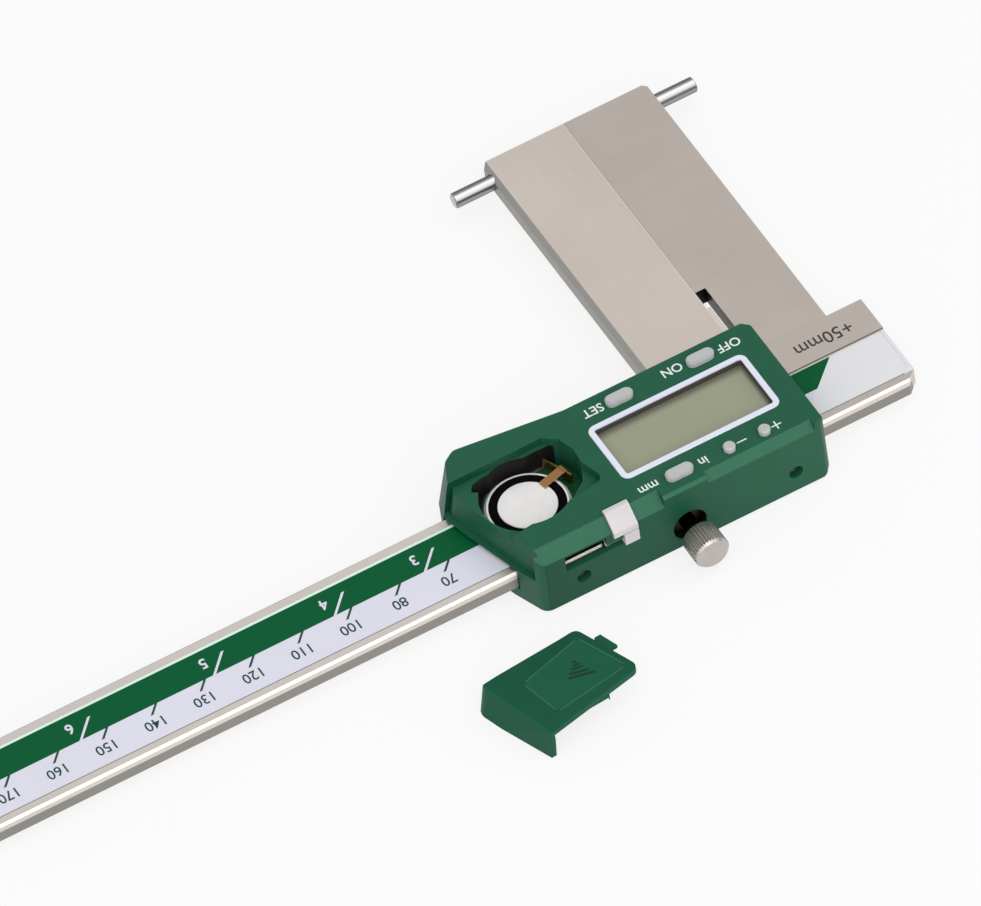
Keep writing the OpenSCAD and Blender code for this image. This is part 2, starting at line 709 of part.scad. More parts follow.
// Boards
board_x1 = 36.6;
board_z0 = lip_z1 + mould_gap;
board_z1 = board_z0 + 1;
module circuit_board() {
  color([0.1, 0.35, 0.15])
  rest()
  difference() {
    slab(frame_x0 + 0.2, near_y0 + 0.2, board_z0, board_x1, wall_y1 - 1.1, board_z1);
    pillars(mould_gap);
    slab(frame_x0 - 1, near_y0 - 1, lip_z1, frame_x0 + 1, screw_spots()[0].y + 1.7, roof_z);
  }
}
module stator_board() {
  color([0.12, 0.3, 0.16])
  rest()
  slab(frame_x0 + 0.5, lip_over + 0.1, lip_z0 + 0.1, frame_x1 - 0.2, beam_w - lip_over - 0.1,
    cell_z - contact_t);
}

// Buttons
function ovals() = [[on_x, row_near], [set_x, row_near], [unit_x, row_far]];
function rounds() = [[minus_x, row_far], [plus_x, row_far]];
switch_h = 2.2;
flange_t = 0.5;
flange_z1 = roof_z - 0.05;
flange_z0 = flange_z1 - flange_t;
stem_low = board_z1 + switch_h + button_travel + 0.1;
module oval(length, width, height) {
  linear_extrude(height) {
    translate([-(length - width) / 2, 0]) circle(d = width, $fn = 32);
    translate([(length - width) / 2, 0]) circle(d = width, $fn = 32);
    square([length - width, width], center = true);
  }
}
// Oval cap with a softened top edge, a flange below the roof and a stem over its switch
module oval_button(at) {
  top = face_z + button_proud;
  soft = 0.3;
  color([0.66, 0.66, 0.66])
  rest()
  translate([at.x, at.y, 0]) {
    translate([0, 0, flange_z0]) oval(oval_len, oval_w, top - soft - flange_z0);
    translate([0, 0, top - soft - eps]) oval(oval_len - soft, oval_w - soft, soft / 2 + eps);
    translate([0, 0, top - soft / 2 - eps])
      oval(oval_len - 2 * soft, oval_w - 2 * soft, soft / 2 + eps);
    translate([0, 0, flange_z0]) oval(oval_len + 0.8, oval_w + 0.8, flange_t);
    translate([0, 0, stem_low]) cylinder(d = 1.6, h = flange_z0 - stem_low + eps);
  }
}
module round_button(at) {
  top = face_z + button_proud;
  c = 0.25;
  color([0.66, 0.66, 0.66])
  rest()
  translate([at.x, at.y, 0])
    rotate_extrude()
    polygon([[0, stem_low], [0.8, stem_low], [0.8, flange_z0], [round_d / 2 + 0.4, flange_z0],
      [round_d / 2 + 0.4, flange_z1], [round_d / 2, flange_z1], [round_d / 2, top - c],
      [round_d / 2 - c, top], [0, top]]);
}
module button_on_off() { oval_button(ovals()[0]); }
module button_set() { oval_button(ovals()[1]); }
module button_unit() { oval_button(ovals()[2]); }
module button_minus() { round_button(rounds()[0]); }
module button_plus() { round_button(rounds()[1]); }
module tact_switches() {
  size = 2.6;
  color([0.3, 0.3, 0.3])
  rest()
  for (b = concat(ovals(), rounds()))
    translate([b.x, b.y + (b.y < 1 ? 0.1 : -0.4), board_z1]) {
      translate([-size / 2, -size / 2, 0]) cube([size, size, switch_h - 0.4]);
      cylinder(d = 1.4, h = switch_h);
    }
}

// Coin cell, its negative side up, and the contacts
contact_t = 0.2;
cell_z = lip_z1 + 0.1;
cell_top = cell_z + cell_t;
module coin_cell() {
  r = cell_d / 2;
  color([0.8, 0.8, 0.8])
  rest()
  translate([cell_x, cell_y, cell_z])
    rotate_extrude($fn = 72)
    polygon([[0, 0], [r - 0.4, 0], [r, 0.4], [r, cell_t - 0.6], [r - 0.5, cell_t - 0.1],
      [r - 0.9, cell_t - 0.1], [r - 0.9, cell_t - 0.35], [r - 2.3, cell_t - 0.35],
      [r - 2.6, cell_t], [0, cell_t]]);
}
module contact_positive() {
  color([0.72, 0.5, 0.25])
  rest()
  translate([cell_x, cell_y, cell_z - contact_t]) linear_extrude(contact_t - fit_gap) {
    translate([-cell_d * 0.06, 0]) square([cell_d * 0.62, cell_d * 0.3], center = true);
    square([cell_d * 0.25, cell_d * 0.7], center = true);
  }
}
// Standing strip beside the cell, with a finger that bears on the cell's face
module contact_negative() {
  a = [43.5, 0.9];
  b = [41, 7.2];
  along = norm(b - a);
  dir = atan2(b.y - a.y, b.x - a.x);
  color([0.72, 0.5, 0.25])
  rest() {
    translate([a.x, a.y, cell_top - 1.4]) rotate(dir) cube([along, 0.25, 2.2]);
    translate([a.x, a.y, cell_z - contact_t]) rotate(dir)
      translate([along - 2.2, 0, 0]) cube([1.8, 0.25, cell_top - cell_z]);
    translate([42.2, 5.2, cell_top + 0.42]) rotate([0, 5, 12]) translate([-1, -0.9, 0])
      cube([5.2, 1.8, 0.25]);
  }
}

// Back cover, let into the housing's open back
back_low = -base_z + 0.3;
back_sink = 0.7;
module back_cover() {
  color([0.55, 0.55, 0.57])
  rest()
  difference() {
    slab(frame_x0, near_y0, back_low, frame_x1, wall_y1, back_z0 - fit_gap);
    for (p = back_spots())
      translate([p.x, p.y, back_low])
        rotate_extrude()
        polygon([[0, -1], [back_head_d / 2 + 0.1, -1], [back_head_d / 2 + 0.1, 0.05],
          [back_screw_d / 2 + 0.1, back_sink + 0.05], [back_screw_d / 2 + 0.1, 4], [0, 4]]);
  }
}

// Battery cover, taken off and lying beside the caliper
cover_dip = 0.7;
cover_edge = [[40, -2], [62.4, -2], [58, 19], [34.6, 16.6]];
cover_flat = [[42.8, 1.8], [56.6, 4.6], [55.4, 14.2], [39.4, 12.9]];
module cover_body() {
  skirt_z = seat_z + mould_gap + eps;
  difference() {
    union() {
      intersection() {
        case_body();
        cover_space(mould_gap);
        slab(30, -10, 0, 90, cover_y1 - mould_gap, face_z + 1);
      }
      // Skirt that locates the cover in the bay
      slab(44.4, 12.6, seat_z - 3.2, 56, 13.8, skirt_z);
      slab(44.2, 0.8, seat_z - 2.2, 54.6, 1.8, skirt_z);
      // Tab on the far side
      translate([0, 0, seat_z + mould_gap])
        linear_extrude(0.8) polygon([[40.2, 3.2], [38.9, 3.2], [37.9, 7.2], [39.8, 7.2]]);
    }
    // Rail groove along the skirt
    slab(43.6, 13.2, seat_z - 1.9, 57, 14.5, seat_z - 0.8);
    // Room over the cell
    translate([cell_x, cell_y, 0]) cylinder(d = cell_d + 2 * fit_gap, h = cell_top + 0.3);
    // Gentle slopes from the raised middle down to the rim
    difference() {
      slab(30, -10, face_z - cover_dip, 90, 40, face_z + 1);
      loft([
        ring(cover_edge, [2, 2, 2, 2], 0, face_z - cover_dip - eps),
        ring(cover_flat, [2, 2, 2, 2], 0, face_z + eps)]);
    }
  }
}
module battery_cover() {
  color([0.16, 0.38, 0.29])
  rest()
  translate([loose_x, loose_y, -base_z - 0.9 - mould_gap]) rotate(loose_turn) cover_body();
}

// Stop at the free end of the beam
stop_len = 8;
stop_t = 1.5;
module end_stop() {
  color([0.7, 0.68, 0.66])
  rest()
  difference() {
    slab(beam_end - stop_len, 1, -beam_t - stop_t, beam_end, beam_w - 1, -beam_t - fit_gap / 2);
    for (y = stop_ys())
      translate([beam_end - stop_len / 2, y, -beam_t - 3]) cylinder(d = 2.2, h = 5);
  }
}
stop_edge = 5;
function stop_ys() = [stop_edge, beam_w - stop_edge];
module end_stop_screws() {
  color([0.6, 0.6, 0.62])
  rest()
  for (y = stop_ys())
    translate([beam_end - stop_len / 2, y, -beam_t - stop_t - 0.8])
      difference() {
        union() {
          cylinder(d = 3.4, h = 0.8);
          cylinder(d = 2, h = 0.8 + stop_t);
        }
        slab(-3, -0.25, -1, 3, 0.25, 0.4);
      }
}

beam();
scale_label();
fixed_pin();
moving_pin();
slider_frame();
gib_strip();
gib_screws();
lock_screw();
housing();
housing_screws();
back_cover();
back_screws();
stator_board();
circuit_board();
elastomer_strips();
lcd_panel();
lcd_frame();
tact_switches();
button_on_off();
button_set();
button_unit();
button_minus();
button_plus();
data_connector();
port_cover();
coin_cell();
contact_positive();
contact_negative();
battery_cover();
end_stop();
end_stop_screws();
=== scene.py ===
import math

import bpy
from mathutils import Matrix, Vector


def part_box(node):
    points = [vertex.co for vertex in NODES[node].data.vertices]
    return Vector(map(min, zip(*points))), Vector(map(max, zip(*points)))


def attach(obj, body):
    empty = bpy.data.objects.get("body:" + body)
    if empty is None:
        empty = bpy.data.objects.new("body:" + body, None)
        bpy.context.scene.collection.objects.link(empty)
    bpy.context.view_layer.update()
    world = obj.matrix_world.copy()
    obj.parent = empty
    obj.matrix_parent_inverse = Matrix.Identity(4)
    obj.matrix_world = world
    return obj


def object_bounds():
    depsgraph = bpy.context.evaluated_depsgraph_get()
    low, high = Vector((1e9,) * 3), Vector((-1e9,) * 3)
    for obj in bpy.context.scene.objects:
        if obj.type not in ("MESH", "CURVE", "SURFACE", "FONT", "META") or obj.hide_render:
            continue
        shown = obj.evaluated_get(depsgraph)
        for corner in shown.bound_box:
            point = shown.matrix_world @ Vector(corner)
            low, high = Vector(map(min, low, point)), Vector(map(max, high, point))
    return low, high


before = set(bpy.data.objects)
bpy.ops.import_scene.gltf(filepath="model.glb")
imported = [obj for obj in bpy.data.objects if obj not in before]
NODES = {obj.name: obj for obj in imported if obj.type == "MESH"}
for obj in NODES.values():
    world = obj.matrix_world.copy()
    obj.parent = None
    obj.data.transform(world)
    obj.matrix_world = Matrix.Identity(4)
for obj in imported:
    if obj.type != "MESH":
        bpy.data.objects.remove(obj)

MM = 0.001
cad_low, cad_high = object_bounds()

# Sizes of the CAD model that the materials and the print follow, in millimetres
BEAM_W = 18.6
STOP_INSET = 1.0
CASE_BACK = 2.0
CASE_FAR_Y = 24.6
FACE_Z = 8.0
LABEL_DEPTH = 0.3

# Construction origin: x = 0 where the jaws meet, y = 0 the beam's edge on the jaw side,
# z = 0 the beam's face
case_low, case_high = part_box("housing")
label_low, label_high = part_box("scale_label")
ORIGIN = Vector((case_low.x + CASE_BACK * MM, 0, label_low.z + LABEL_DEPTH * MM))
ORIGIN.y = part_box("end_stop")[1].y - (BEAM_W - STOP_INSET) * MM


def at(x, y, z=0.0):
    """A point of the construction frame, in millimetres, as a place in the scene."""
    return ORIGIN + Vector((x, y, z)) * MM


def at_x(x):
    return at(x, 0).x


def at_y(y):
    return at(0, y).y


def at_z(z):
    return at(0, 0, z).z


# Camera: the photograph is close to a parallel view, so the lens is very long
LOOK_AT = at(49.1, -8.8, 0)
VIEW_RIGHT = Vector((-0.8694, 0.4832, -0.1027))
VIEW_UP = Vector((-0.4259, -0.6281, 0.6507))
VIEW_WIDTH = 175.6 * MM
LENS = 1500
SENSOR = 36


def make_camera():
    data = bpy.data.cameras.new("camera")
    data.lens = LENS
    data.sensor_width = SENSOR
    distance = VIEW_WIDTH * LENS / SENSOR
    data.clip_start = 0.1
    data.clip_end = 4 * distance
    camera = bpy.data.objects.new("camera", data)
    back = VIEW_RIGHT.cross(VIEW_UP).normalized()
    up = back.cross(VIEW_RIGHT).normalized()
    turn = Matrix((VIEW_RIGHT.normalized(), up, back)).transposed().to_4x4()
    camera.matrix_world = Matrix.Translation(LOOK_AT + back * distance) @ turn
    bpy.context.scene.collection.objects.link(camera)
    bpy.context.scene.camera = camera


def rgb(r, g, b):
    """A colour written as it is seen, 0 to 255, turned into linear light."""
    def linear(c):
        c /= 255
        return c / 12.92 if c <= 0.04045 else ((c + 0.055) / 1.055) ** 2.4
    return (linear(r), linear(g), linear(b), 1.0)


def put(tree, socket, value):
    """Feeds a socket from another node's output, or sets it to a plain value."""
    if hasattr(value, "links"):
        tree.links.new(value, socket)
    else:
        socket.default_value = value


class Surface:
    """A material made of nodes round one Principled shader.

    Places are the object's own coordinates, in metres, and noise scales count clouds per metre.
    """

    def __init__(self, name, color, roughness, metallic=0.0, specular=0.5, coat=0.0):
        self.material = bpy.data.materials.new(name)
        self.material.use_nodes = True
        self.tree = self.material.node_tree
        self.shader = self.tree.nodes["Principled BSDF"]
        self.drive("Base Color", color)
        self.drive("Roughness", roughness)
        self.drive("Metallic", metallic)
        self.drive("Specular IOR Level", specular)
        self.drive("Coat Weight", coat)
        self.place = self.node("ShaderNodeTexCoord").outputs["Object"]

    def node(self, kind, **settings):
        """A new node; each setting is one of its properties or of its inputs."""
        made = self.tree.nodes.new(kind)
        for key, value in settings.items():
            if hasattr(made, key):
                setattr(made, key, value)
            else:
                made.inputs[key].default_value = value
        return made

    def link(self, start, end):
        self.tree.links.new(start, end)

    def drive(self, name, value):
        """Sets an input of the shader to a value or to an output."""
        put(self.tree, self.shader.inputs[name], value)

    def stretched(self, x=1.0, y=1.0, z=1.0):
        """The object's own coordinates, scaled by axis."""
        mapping = self.node("ShaderNodeMapping", Scale=(x, y, z))
        self.link(self.place, mapping.inputs["Vector"])
        return mapping.outputs["Vector"]

    def noise(self, scale, detail=3.0, place=None):
        made = self.node("ShaderNodeTexNoise", Scale=scale, Detail=detail)
        self.link(place or self.place, made.inputs["Vector"])
        return made.outputs["Fac"]

    def ramp(self, value, stops):
        made = self.node("ShaderNodeValToRGB")
        elements = made.color_ramp.elements
        while len(elements) < len(stops):
            elements.new(0.5)
        for element, (position, color) in zip(elements, stops):
            element.position = position
            element.color = color
        self.link(value, made.inputs["Fac"])
        return made.outputs["Color"]

    def maths(self, operation, a, b=0.0, c=0.0):
        made = self.node("ShaderNodeMath", operation=operation)
        for socket, value in zip(made.inputs, (a, b, c)):
            put(self.tree, socket, value)
        return made.outputs["Value"]

    def ranged(self, value, start, end, first=0.0, last=1.0, kind="LINEAR"):
        """Turns start to end into first to last, and holds the ends beyond them."""
        made = self.node("ShaderNodeMapRange", interpolation_type=kind)
        levels = {"From Min": start, "From Max": end, "To Min": first, "To Max": last}
        for name, level in levels.items():
            made.inputs[name].default_value = level
        self.link(value, made.inputs["Value"])
        return made.outputs["Result"]

    def mixed(self, share, a, b):
        """Colour a where share is 0 and b where it is 1."""
        made = self.node("ShaderNodeMix", data_type="RGBA")
        # The sockets of a colour mix: factor, then the two colours
        for index, value in ((0, share), (6, a), (7, b)):
            put(self.tree, made.inputs[index], value)
        return made.outputs[2]

    def varied(self, color, amount, scale, place=None):
        """The colour, a little darker and lighter in soft clouds."""
        low = tuple(c * (1 - amount) for c in color[:3]) + (1.0,)
        high = tuple(min(1.0, c * (1 + amount)) for c in color[:3]) + (1.0,)
        cloud = self.noise(scale, 4.0, place)
        return self.ramp(cloud, [(0.3, low), (0.7, high)])

    def paint(self, color):
        self.drive("Base Color", color)

    def rough(self, low, high, scale, place=None):
        """Roughness that wanders between two values."""
        self.drive("Roughness", self.ranged(self.noise(scale, 4.0, place), 0.0, 1.0, low, high))

    def bump(self, height, strength, depth):
        """Fine relief; its depth is in millimetres."""
        made = self.node("ShaderNodeBump", Strength=strength, Distance=depth * MM)
        self.link(height, made.inputs["Height"])
        self.drive("Normal", made.outputs["Normal"])

    def parts(self, vector):
        made = self.node("ShaderNodeSeparateXYZ")
        self.link(vector, made.inputs["Vector"])
        return made.outputs["X"], made.outputs["Y"], made.outputs["Z"]

    def axes(self):
        """The place on the object, by axis."""
        return self.parts(self.place)

    def facing(self):
        """The direction that the surface faces, by axis of the object."""
        return self.parts(self.node("ShaderNodeTexCoord").outputs["Normal"])

    def more(self, value, level):
        return self.maths("GREATER_THAN", value, level)

    def less(self, value, level):
        return self.maths("LESS_THAN", value, level)

    def between(self, value, low, high):
        return self.both(self.more(value, low), self.less(value, high))

    def both(self, *masks):
        """The product of masks; a plain number weakens them."""
        result = masks[0]
        for mask in masks[1:]:
            result = self.maths("MULTIPLY", result, mask)
        return result

    def opposite(self, mask):
        return self.maths("SUBTRACT", 1.0, mask)

    def offset(self, value, centre):
        return self.maths("SUBTRACT", value, centre)

    def radius(self, a, b):
        """Distance from an axis, from the two offsets across it."""
        squares = self.maths("ADD", self.maths("MULTIPLY", a, a), self.maths("MULTIPLY", b, b))
        return self.maths("SQRT", squares)


def middle(name):
    """Centre of a node's box."""
    low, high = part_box(name)
    return (low + high) / 2


# A face's normal has this much along an axis where it looks along it, or leans towards it
ALONG = 0.9
TOWARDS = 0.6

# Plastic
GREEN = rgb(29, 88, 64)
CHAMFER_HIGHLIGHT = rgb(70, 126, 100)
SIDE_SHADE = rgb(12, 70, 48)
WELL_WALL_DARK = rgb(24, 22, 22)
RECESS_SHADE = rgb(10, 26, 19)
COVER_GREEN = rgb(28, 88, 64)
COVER_SLOPE_SHADE = rgb(14, 66, 46)
COVER_FLANGE_SHADE = rgb(22, 82, 60)
BUTTON_GREY = rgb(181, 184, 183)
PORT_COVER_GREY = rgb(204, 200, 201)
SWITCH_BLACK = rgb(42, 42, 44)
RUBBER = rgb(60, 60, 62)
BOARD_GREEN = rgb(30, 84, 48)

# Display
LCD_OLIVE = rgb(150, 153, 128)
LCD_SHADE = rgb(84, 80, 72)
FRAME_WHITE = rgb(220, 224, 238)
FRAME_SHADE = rgb(70, 66, 64)

# Label and print
LABEL_GREEN = rgb(0, 87, 48)
LABEL_WHITE = rgb(216, 216, 228)
HEAD_WHITE = rgb(221, 221, 224)
PALE_GREEN = rgb(216, 236, 226)
LABEL_SHADE = rgb(128, 122, 118)
INK = rgb(30, 70, 58)
ENGRAVING = rgb(62, 56, 52)
CASE_WHITE = rgb(226, 232, 232)
GROOVE_SHADE = rgb(0, 50, 30)
CREASE_HIGHLIGHT = rgb(46, 104, 79)

# Metal
STEEL = rgb(218, 208, 198)
RIM_HIGHLIGHT = rgb(242, 234, 226)
BEVEL_SHADE = rgb(118, 110, 106)
EDGE_HIGHLIGHT = rgb(226, 219, 212)
EDGE_SHADE = rgb(152, 148, 144)
STEP_SHADE = rgb(120, 112, 106)
RELIEF_SHADE = rgb(64, 60, 58)
RELIEF_DEEP_SHADE = rgb(14, 13, 13)
JAW_STEEL = rgb(238, 227, 215)
SEAM_HIGHLIGHT = rgb(252, 246, 238)
JAW_BEVEL_SHADE = rgb(190, 187, 182)
JAW_SIDE_SHADE = rgb(152, 151, 147)
FRAME_WALL_SHADE = rgb(52, 47, 44)
KNOB_STEEL = rgb(192, 186, 180)
NECK_SHADE = rgb(44, 40, 37)
PIN_STEEL = rgb(208, 206, 206)
PIN_END = rgb(190, 188, 186)
SCREW_STEEL = rgb(84, 82, 80)
SHEET_STEEL = rgb(170, 170, 174)
GIB_BRONZE = rgb(188, 160, 100)
CONTACT_BRONZE = rgb(192, 144, 94)
CELL_STEEL = rgb(252, 249, 246)
CELL_RING = rgb(14, 14, 16)
PORT_BLACK = rgb(16, 16, 18)
PORT_LIP = rgb(235, 232, 228)


def ground_steel(name, color, grain, roughness=(0.38, 0.44)):
    """Satin steel with grinding marks; grain stretches the marks along an axis."""
    s = Surface(name, color, roughness[0], metallic=1.0)
    marks = s.stretched(*grain)
    s.base = s.mixed(0.5, s.varied(color, 0.02, 700, marks), s.varied(color, 0.07, 55))
    s.paint(s.base)
    s.rough(roughness[0], roughness[1], 700, marks)
    s.bump(s.noise(2600, 3.0, marks), 0.05, 0.04)
    return s


def turned_steel(name, color, axis):
    """Steel with fine turning marks; axis stretches them along one direction."""
    s = Surface(name, color, 0.26, metallic=1.0)
    s.base = s.varied(color, 0.04, 700)
    s.paint(s.base)
    marks = s.stretched(*axis)
    s.rough(0.2, 0.34, 900, marks)
    s.bump(s.noise(2400, 2.0, marks), 0.1, 0.04)
    return s


def moulded(name, color, roughness=0.42, bump=0.25):
    """Fine spark-eroded texture of moulded plastic."""
    s = Surface(name, color, roughness, specular=0.2)
    s.base = s.varied(color, 0.035, 260)
    s.paint(s.base)
    s.rough(roughness - 0.05, roughness + 0.07, 900)
    s.bump(s.noise(5200, 2.0), bump, 0.04)
    return s


def ink(name, color):
    s = Surface(name, color, 0.4, specular=0.3)
    s.paint(s.varied(color, 0.03, 1500))
    s.bump(s.noise(4000, 2.0), 0.05, 0.02)
    return s


# Chamfer along the housing's face, which gets a painted highlight: limits of its normal across
# the beam and upwards, and how far it may turn along the beam
CHAMFER_NORMAL = (0.5, 0.87)
CHAMFER_TURN = 0.24
# Near-black walls of the battery well, in millimetres: reach of the round wall from the cell's
# centre, place of the flat wall, its height, and the direction across the well in which it starts
DARK_WALL_RADIUS = 9.0
DARK_WALL_Y = (0.1, 2.8)
DARK_WALL_END_X = 59.2
DARK_WALL_Z = (-1, FACE_Z - 1.75)
DARK_WALL_SIDE = (0.64, -0.77)
DARK_WALL_START = -0.5
# Recess that the lock screw stands in, where shade is painted, in millimetres
RECESS_RADIUS = 3.6
RECESS_RIM = 0.4


def well_liner(s):
    """Walls round the cell that look towards it, on the side away from the port."""
    x, y, z = s.axes()
    nx, ny, _ = s.facing()
    centre = middle("coin_cell")
    dx = s.offset(x, centre.x)
    dy = s.offset(y, centre.y)
    inward = s.less(s.maths("MULTIPLY_ADD", dy, ny, s.maths("MULTIPLY", dx, nx)), 0.0)
    round_wall = s.less(s.radius(dx, dy), DARK_WALL_RADIUS * MM)
    flat_wall = s.both(s.between(y, *map(at_y, DARK_WALL_Y)), s.less(x, at_x(DARK_WALL_END_X)))
    near = s.maths("MAXIMUM", round_wall, flat_wall)
    height = s.between(z, *map(at_z, DARK_WALL_Z))
    side = s.maths("MULTIPLY_ADD", dy, DARK_WALL_SIDE[1], s.maths("MULTIPLY", dx, DARK_WALL_SIDE[0]))
    return s.both(inward, near, height, s.more(side, DARK_WALL_START * MM))


def screw_recess(s):
    """Wall of the recess that the lock screw stands in."""
    x, y, z = s.axes()
    centre = middle("lock_screw")
    radius = s.radius(s.offset(x, centre.x), s.offset(z, centre.z))
    depth = s.between(y, at_y(BEAM_W), at_y(CASE_FAR_Y - RECESS_RIM))
    return s.both(s.less(radius, RECESS_RADIUS * MM), depth)


def case_green():
    """Green of the housing: painted highlight on the chamfers, painted shade on its side and in
    the lock screw's recess, and near-black walls round the battery well.
    """
    s = moulded("case_green", GREEN)
    x, _, _ = s.axes()
    nx, ny, nz = s.facing()
    # Painted highlight on the chamfer along the face
    chamfer = s.both(s.between(ny, *CHAMFER_NORMAL), s.between(nz, *CHAMFER_NORMAL),
                     s.between(nx, -CHAMFER_TURN, CHAMFER_TURN), 0.3)
    color = s.mixed(chamfer, s.base, CHAMFER_HIGHLIGHT)
    along = s.ranged(x, case_low.x, case_high.x)
    color = s.mixed(s.both(s.more(ny, ALONG), along), color, SIDE_SHADE)
    # Near-black walls round the battery well
    color = s.mixed(well_liner(s), color, WELL_WALL_DARK)
    # Painted shade on the wall of the lock screw's recess
    s.paint(s.mixed(screw_recess(s), color, RECESS_SHADE))
    return s


# Limits of the normal's z on the gentle slopes of the battery cover, where shade is painted
SLOPE_NORMAL = (0.8, 0.9995)


def cover_green():
    """Green of the loose battery cover, with painted shade on the gentle slopes round its raised
    middle and on its flange.
    """
    s = moulded("cover_green", COVER_GREEN)
    s.drive("Specular IOR Level", 0.08)
    nx, _, nz = s.facing()
    # Painted shade on the gentle slopes and on the flange that faces along the beam
    slope = s.both(s.between(nz, *SLOPE_NORMAL), 0.35)
    flange = s.both(s.more(nx, TOWARDS), 0.5)
    s.paint(s.mixed(flange, s.mixed(slope, s.base, COVER_SLOPE_SHADE), COVER_FLANGE_SHADE))
    return s


# Lower lip of the data connector, in millimetres
LIP_HEIGHT = 0.45
LIP_DEPTH = 0.4


def connector_shell():
    """Data connector: bright lower lip, black inside."""
    s = Surface("connector_shell", PORT_BLACK, 0.4)
    low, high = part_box("data_connector")
    _, y, z = s.axes()
    lip = s.both(s.less(z, low.z + LIP_HEIGHT * MM), s.more(y, high.y - LIP_DEPTH * MM))
    s.paint(s.mixed(lip, s.varied(PORT_BLACK, 0.05, 900), PORT_LIP))
    s.drive("Metallic", s.both(lip, 0.4))
    return s


# Printed label, in millimetres: the slanted start of the scale and the edges of its fields
SLANT_START = (-12.87, 5.54)
SLANT_PITCH = 1.031
SLANT_LINE = 0.18
HEAD_END_X = -0.3
HEAD_DROP = 2.0
RIM_EDGE = 2.62
HEAD_RIM_EDGE = 5.6
FAR_RIM = 0.2
FIELD_EDGE = 9.0
SOFT_EDGE = 0.03


def label_print():
    """Printed scale label: green and white fields, and the blank white end at the head."""
    s = Surface("label_print", LABEL_WHITE, 0.4, specular=0.12)
    x, y, _ = s.axes()

    def above(value, level):
        """0 below the level and 1 above it, over a narrow soft step."""
        return s.ranged(value, level - SOFT_EDGE * MM, level + SOFT_EDGE * MM)

    start = at(*SLANT_START)
    line = s.maths("MULTIPLY_ADD", y, SLANT_PITCH, start.x - start.y * SLANT_PITCH)
    slant = s.maths("SUBTRACT", x, line)
    scale_side = above(slant, 0.0)
    line_side = above(slant, -SLANT_LINE * MM)
    over_head = s.opposite(above(x, at_x(HEAD_END_X)))
    field = s.maths("MULTIPLY_ADD", over_head, -HEAD_DROP * MM, y)
    white_side = above(field, at_y(FIELD_EDGE))
    rim_side = above(y, at_y(RIM_EDGE))
    head_rim = above(y, at_y(HEAD_RIM_EDGE))
    far_rim = above(y, label_high.y - FAR_RIM * MM)

    green = s.mixed(rim_side, PALE_GREEN, LABEL_GREEN)
    green = s.mixed(s.both(over_head, s.opposite(head_rim)), green, PALE_GREEN)
    scale = s.mixed(white_side, green, s.varied(LABEL_WHITE, 0.012, 60))
    head = s.mixed(s.both(line_side, 0.6), HEAD_WHITE, PALE_GREEN)
    s.paint(s.mixed(far_rim, s.mixed(scale_side, head, scale), LABEL_SHADE))
    s.rough(0.28, 0.4, 300)
    s.bump(s.noise(900, 2.0), 0.05, 0.03)
    return s


# Beam, in millimetres: its face and edge, the relief slot between the jaws, the blank end
FACE_TOP = 0.1
RIM_START_X = 0.5
EDGE_DEPTH = 1.0
EDGE_BAND_Z = -1.5
STEP_Z = 0.05
RELIEF_X = (-2.3, 0.1)
RELIEF_Y = (-21.4, -2.7)
RELIEF_END_Y = -21.1
END_LENGTH = 2.0
END_Y = 5.4


def beam_steel():
    """Ground steel of the beam, head and jaw, with grinding marks along the beam."""
    s = ground_steel("beam_steel", STEEL, (0.06, 1.0, 1.0))
    x, y, z = s.axes()
    _, ny, nz = s.facing()
    face = s.both(s.more(nz, ALONG), s.less(z, at_z(FACE_TOP)))

    # Painted highlight on the rims beside the label, painted shade on the bevel, and a painted
    # highlight over painted shade in the two bands of the edge below it
    color = s.mixed(s.both(face, s.more(x, at_x(RIM_START_X))), s.base, RIM_HIGHLIGHT)
    bevel = s.both(s.less(ny, -TOWARDS), s.more(nz, TOWARDS))
    color = s.mixed(bevel, color, BEVEL_SHADE)
    edge = s.both(s.more(ny, TOWARDS), s.more(y, at_y(BEAM_W - EDGE_DEPTH)))
    color = s.mixed(edge, color, EDGE_HIGHLIGHT)
    color = s.mixed(s.both(edge, s.less(z, at_z(EDGE_BAND_Z))), color, EDGE_SHADE)

    # Painted shade on the step of the head strip and in the relief slot between the jaws,
    # deepest at the slot's end
    step = s.both(s.more(ny, ALONG), s.more(z, at_z(STEP_Z)))
    color = s.mixed(step, color, STEP_SHADE)
    relief = s.both(s.between(x, *map(at_x, RELIEF_X)), s.between(y, *map(at_y, RELIEF_Y)),
                    s.less(nz, ALONG))
    color = s.mixed(relief, color, RELIEF_SHADE)
    color = s.mixed(s.both(relief, s.less(y, at_y(RELIEF_END_Y))), color, RELIEF_DEEP_SHADE)

    # The print runs on to the beam's end
    end = s.both(face, s.less(x, label_low.x + END_LENGTH * MM),
                 s.between(y, at_y(END_Y), label_high.y))
    s.paint(s.mixed(end, color, HEAD_WHITE))
    s.drive("Metallic", s.opposite(end))
    return s


# Width of the painted highlight where the jaws meet, in millimetres
SEAM_X = 0.3


def jaw_steel():
    """Ground steel of the slider frame and its jaw: painted highlight along the seam, and painted
    shade on its sides and on the walls that face across the beam.
    """
    s = ground_steel("frame_steel", JAW_STEEL, (1.0, 0.06, 1.0))
    x, _, _ = s.axes()
    nx, ny, nz = s.facing()
    seam = s.both(s.more(nz, ALONG), s.less(x, at_x(SEAM_X)), 0.6)
    color = s.mixed(seam, s.base, SEAM_HIGHLIGHT)
    # Painted shade on the sides of the jaw and on the walls that face across the beam
    color = s.mixed(s.more(nx, TOWARDS), color, JAW_BEVEL_SHADE)
    color = s.mixed(s.more(nx, ALONG), color, JAW_SIDE_SHADE)
    s.paint(s.mixed(s.more(ny, ALONG), color, FRAME_WALL_SHADE))
    return s


